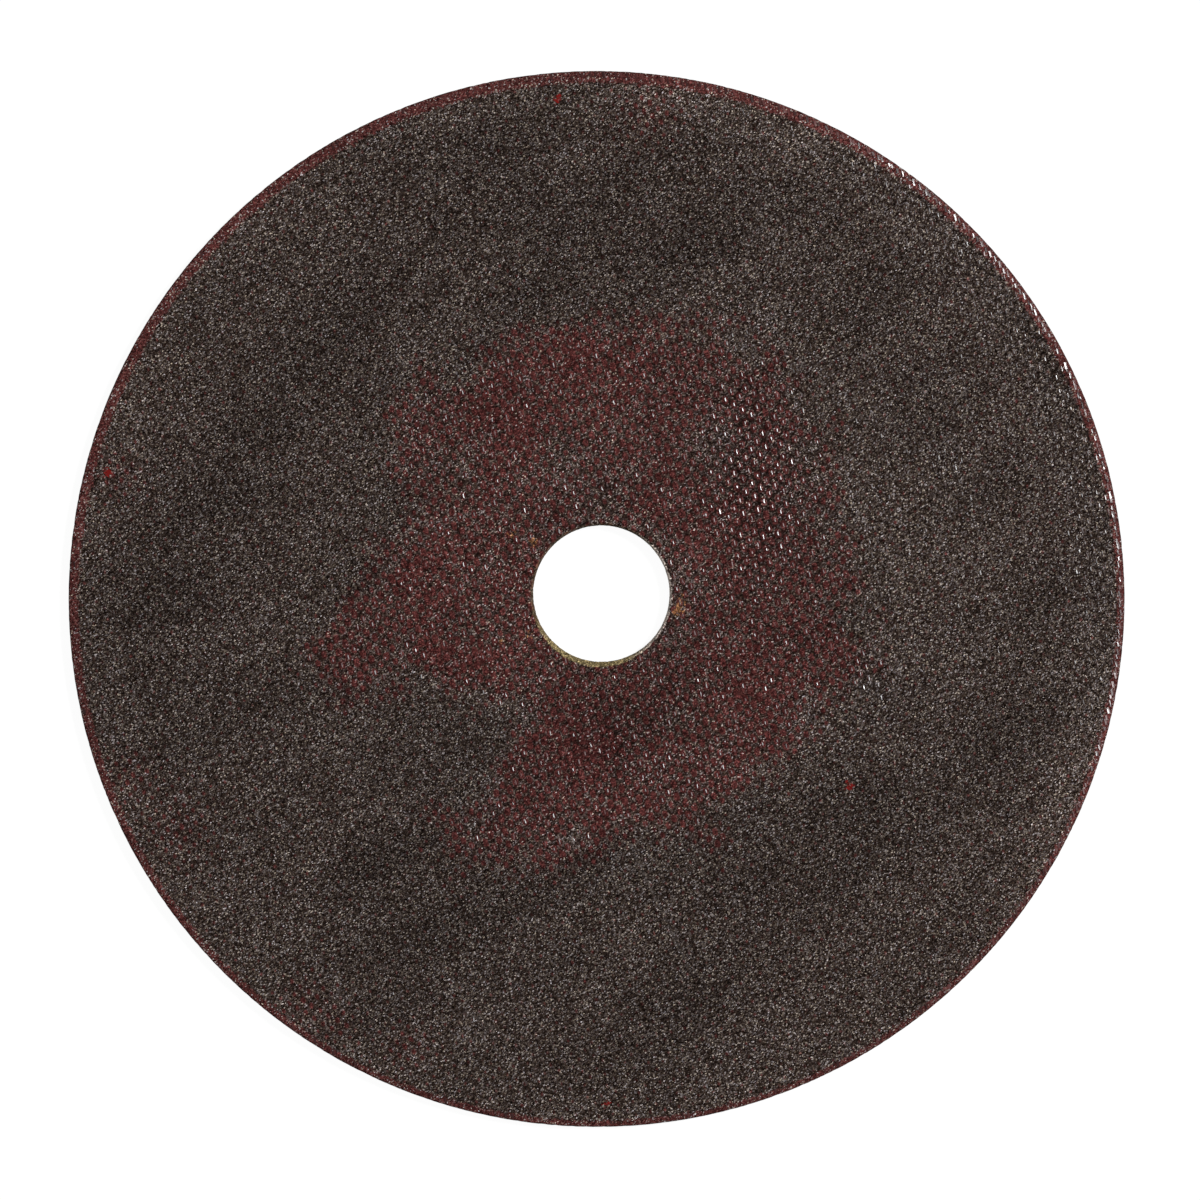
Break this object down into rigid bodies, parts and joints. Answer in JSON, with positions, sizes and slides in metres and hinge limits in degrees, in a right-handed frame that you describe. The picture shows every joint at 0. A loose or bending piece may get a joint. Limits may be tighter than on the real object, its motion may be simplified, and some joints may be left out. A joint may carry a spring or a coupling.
{
  "type": "cut-off wheel",
  "caption": "Thin flat resin-bonded abrasive disc with a plain central arbor bore, for cutting metal.",
  "frame": {"origin": "centre of the rim circle at the back face, on which the wheel lies", "axes": "+Z out of the front face, along the wheel's axis; +X to the right and +Y up in the picture"},
  "size_m": [0.076, 0.076, 0.0016],
  "materials": {
    "resin_bonded_grain": "matte",
    "glass_yarn": "matte"
  },
  "bodies": {
    "root": {"wheel": "resin_bonded_grain"}
  },
  "joints": []
}
